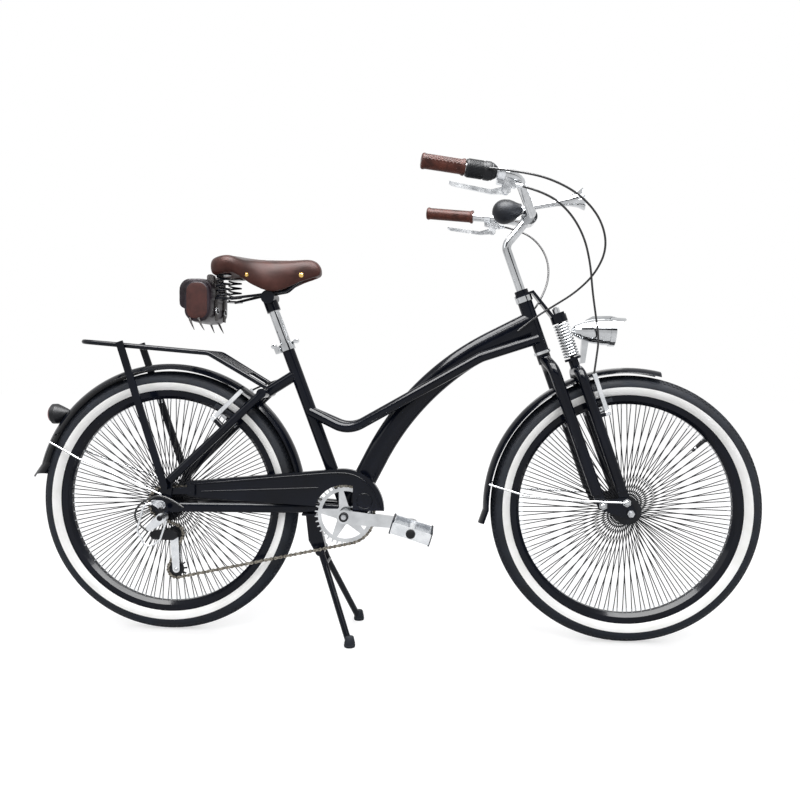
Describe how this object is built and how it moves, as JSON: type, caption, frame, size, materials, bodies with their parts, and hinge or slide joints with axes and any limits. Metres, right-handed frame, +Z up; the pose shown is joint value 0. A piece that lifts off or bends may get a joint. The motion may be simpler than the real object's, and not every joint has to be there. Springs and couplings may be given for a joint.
{
  "type": "beach cruiser bicycle",
  "caption": "Step-through cruiser bicycle with springer fork, chain drive, derailleur, rim brakes, rack, mudguards and folding stand",
  "frame": {"origin": "on the ground under the middle of the overall box", "axes": "+X toward the front wheel, +Y to the rider's left, +Z up"},
  "size_m": [1.8466, 0.5724, 1.1376],
  "materials": {
    "black_paint": "gloss black paint",
    "chrome_steel": "polished chrome plate",
    "bare_steel": "plain steel",
    "alloy": "polished alloy",
    "chromed_plastic": "chromed moulding",
    "black_plastic": "black moulding",
    "dark_steel": "black coated steel",
    "tyre_rubber": "black tread, pale sidewall",
    "bulb_rubber": "smooth black rubber",
    "brown_leather": "brown stitched leather"
  },
  "bodies": {
    "frame": {"head_tube": "black_paint", "frame_tubes": "black_paint", "seat_tube": "black_paint", "chainstays": "black_paint", "seatstays": "black_paint", "headset_cups": "chrome_steel", "rear_axle": "bare_steel", "chain_guard": "black_paint", "rear_fender": "black_paint", "rear_fender_stays": "chrome_steel", "tail_light": "black_plastic", "rear_rack": "black_paint", "seat_clamp": "chrome_steel", "chain": "bare_steel", "frame_cables": "black_plastic", "derailleur_body": "alloy"},
    "seat": {"seat_post": "alloy", "saddle_frame": "chrome_steel", "saddle": "brown_leather", "tool_bag": "brown_leather"},
    "rear_wheel": {"rear_tyre": "tyre_rubber", "rear_rim": "black_paint", "rear_spokes": "black_paint", "rear_hub": "alloy"},
    "freewheel": {"freewheel": "bare_steel"},
    "crank": {"crank_arms": "chrome_steel", "chainring": "chrome_steel"},
    "right_pedal": {"right_pedal": "black_plastic"},
    "left_pedal": {"left_pedal": "black_plastic"},
    "derailleur": {"derailleur_knuckle": "black_plastic"},
    "cage": {"derailleur_cage": "dark_steel"},
    "upper_jockey": {"upper_jockey_wheel": "black_plastic"},
    "lower_jockey": {"lower_jockey_wheel": "black_plastic"},
    "kickstand": {"kickstand_legs": "black_paint"},
    "fork": {"springer_fork": "black_paint", "fork_spring": "chrome_steel", "stem": "chrome_steel", "handlebar": "chrome_steel", "grips": "brown_leather", "lever_mounts": "alloy", "horn": "chrome_steel", "horn_bulb": "bulb_rubber", "front_brake_cable": "black_plastic"},
    "right_lever": {"right_brake_lever": "alloy"},
    "left_lever": {"left_brake_lever": "alloy"},
    "shifter": {"twist_shifter": "black_plastic"},
    "rocker": {"rocker_links": "chrome_steel", "front_axle": "bare_steel"},
    "strut": {"strut_legs": "black_paint", "headlamp": "chromed_plastic", "front_fender": "black_paint", "front_fender_stays": "chrome_steel"},
    "front_wheel": {"front_tyre": "tyre_rubber", "front_rim": "black_paint", "front_spokes": "black_paint", "front_hub": "alloy"},
    "front_right_arm": {"front_right_brake_arm": "alloy"},
    "front_left_arm": {"front_left_brake_arm": "alloy"},
    "rear_right_arm": {"rear_right_brake_arm": "alloy"},
    "rear_left_arm": {"rear_left_brake_arm": "alloy"}
  },
  "joints": [
    {"name": "steering", "type": "hinge", "parent": "frame", "child": "fork", "pos_m": [0.5206, 0, 0.333], "axis": [-0.3387, 0, 0.9409], "range_deg": [-60, 60], "deforming": ["frame_cables"]},
    {"name": "fork_rocker", "type": "hinge", "parent": "fork", "child": "rocker", "pos_m": [0.52454, 0, 0.351], "axis": [0, -1, 0], "range_deg": [0, 20], "stiffness_Nm_per_rad": 40, "springref_deg": -20.05, "deforming": ["fork_spring", "front_brake_cable"]},
    {"name": "strut_pivot", "type": "hinge", "parent": "rocker", "child": "strut", "pos_m": [0.5809, 0, 0.35917], "axis": [0, -1, 0], "range_deg": [-20, 0]},
    {"name": "front_wheel_spin", "type": "hinge", "parent": "rocker", "child": "front_wheel", "pos_m": [0.59033, 0, 0.333], "axis": [0, 1, 0], "continuous": true},
    {"name": "rear_wheel_spin", "type": "hinge", "parent": "frame", "child": "rear_wheel", "pos_m": [-0.56267, 0, 0.333], "axis": [0, 1, 0], "continuous": true},
    {"name": "crank_spin", "type": "hinge", "parent": "frame", "child": "crank", "pos_m": [-0.10467, 0, 0.312], "axis": [0, 1, 0], "continuous": true, "deforming": ["chain"]},
    {"name": "right_pedal_spin", "type": "hinge", "parent": "crank", "child": "right_pedal", "pos_m": [0.06468, -0.13, 0.29718], "axis": [0, 1, 0], "continuous": true},
    {"name": "left_pedal_spin", "type": "hinge", "parent": "crank", "child": "left_pedal", "pos_m": [-0.27403, 0.13, 0.32682], "axis": [0, 1, 0], "continuous": true},
    {"name": "freewheel_spin", "type": "hinge", "parent": "frame", "child": "freewheel", "pos_m": [-0.56267, -0.044, 0.333], "axis": [0, 1, 0], "continuous": true},
    {"name": "derailleur_shift", "type": "slide", "parent": "frame", "child": "derailleur", "axis": [0, 1, 0], "range_m": [-0.0165, 0.011], "deforming": ["chain", "frame_cables"]},
    {"name": "cage_swing", "type": "hinge", "parent": "derailleur", "child": "cage", "pos_m": [-0.53867, -0.044, 0.256], "axis": [0, -1, 0], "range_deg": [-8, 40], "stiffness_Nm_per_rad": 2, "deforming": ["chain"]},
    {"name": "upper_jockey_spin", "type": "hinge", "parent": "derailleur", "child": "upper_jockey", "pos_m": [-0.53867, -0.044, 0.256], "axis": [0, 1, 0], "continuous": true},
    {"name": "lower_jockey_spin", "type": "hinge", "parent": "cage", "child": "lower_jockey", "pos_m": [-0.53302, -0.044, 0.16618], "axis": [0, 1, 0], "continuous": true},
    {"name": "kickstand_fold", "type": "hinge", "parent": "frame", "child": "kickstand", "pos_m": [-0.17067, 0, 0.214], "axis": [0, 1, 0], "range_deg": [0, 95]},
    {"name": "seat_post_slide", "type": "slide", "parent": "frame", "child": "seat", "axis": [-0.3518, 0, 0.9361], "range_m": [-0.04, 0.06]},
    {"name": "right_brake_lever_pull", "type": "hinge", "parent": "fork", "child": "right_lever", "pos_m": [0.26655, -0.24025, 1.06377], "axis": [-0.1628, 0.9867, 0], "range_deg": [0, 7.5], "stiffness_Nm_per_rad": 0.6, "springref_deg": -17.19, "deforming": ["front_brake_cable"]},
    {"name": "left_brake_lever_pull", "type": "hinge", "parent": "fork", "child": "left_lever", "pos_m": [0.26655, 0.24025, 1.06377], "axis": [0.1628, 0.9867, 0], "range_deg": [0, 7.5], "stiffness_Nm_per_rad": 0.6, "springref_deg": -17.19, "deforming": ["frame_cables"]},
    {"name": "twist_shift", "type": "hinge", "parent": "fork", "child": "shifter", "pos_m": [0.08633, -0.27, 1.121], "axis": [0.9802, 0.1618, -0.1142], "range_deg": [-66.2, 44.2]},
    {"name": "front_right_arm_swing", "type": "hinge", "parent": "strut", "child": "front_right_arm", "pos_m": [0.52809, -0.048, 0.57377], "axis": [-0.9409, 0, -0.3387], "range_deg": [0, 4.6]},
    {"name": "front_left_arm_swing", "type": "hinge", "parent": "strut", "child": "front_left_arm", "pos_m": [0.52809, 0.048, 0.57377], "axis": [0.9409, 0, 0.3387], "range_deg": [0, 4.6]},
    {"name": "rear_right_arm_swing", "type": "hinge", "parent": "frame", "child": "rear_right_arm", "pos_m": [-0.43249, -0.048, 0.54601], "axis": [-0.6911, 0, 0.7228], "range_deg": [0, 3.8]},
    {"name": "rear_left_arm_swing", "type": "hinge", "parent": "frame", "child": "rear_left_arm", "pos_m": [-0.43249, 0.048, 0.54601], "axis": [0.6911, 0, -0.7228], "range_deg": [0, 3.8]}
  ],
  "couplings": [
    {"joint": "strut_pivot", "follows": "fork_rocker", "ratio": -1},
    {"joint": "freewheel_spin", "follows": "crank_spin", "ratio": 1.8},
    {"joint": "upper_jockey_spin", "follows": "crank_spin", "ratio": -3.2727},
    {"joint": "lower_jockey_spin", "follows": "crank_spin", "ratio": 3.2727},
    {"joint": "twist_shift", "follows": "derailleur_shift", "rad_per_m": 69.813},
    {"joint": "front_right_arm_swing", "follows": "right_brake_lever_pull", "ratio": 0.6},
    {"joint": "front_left_arm_swing", "follows": "right_brake_lever_pull", "ratio": 0.6},
    {"joint": "rear_right_arm_swing", "follows": "left_brake_lever_pull", "ratio": 0.5},
    {"joint": "rear_left_arm_swing", "follows": "left_brake_lever_pull", "ratio": 0.5}
  ]
}
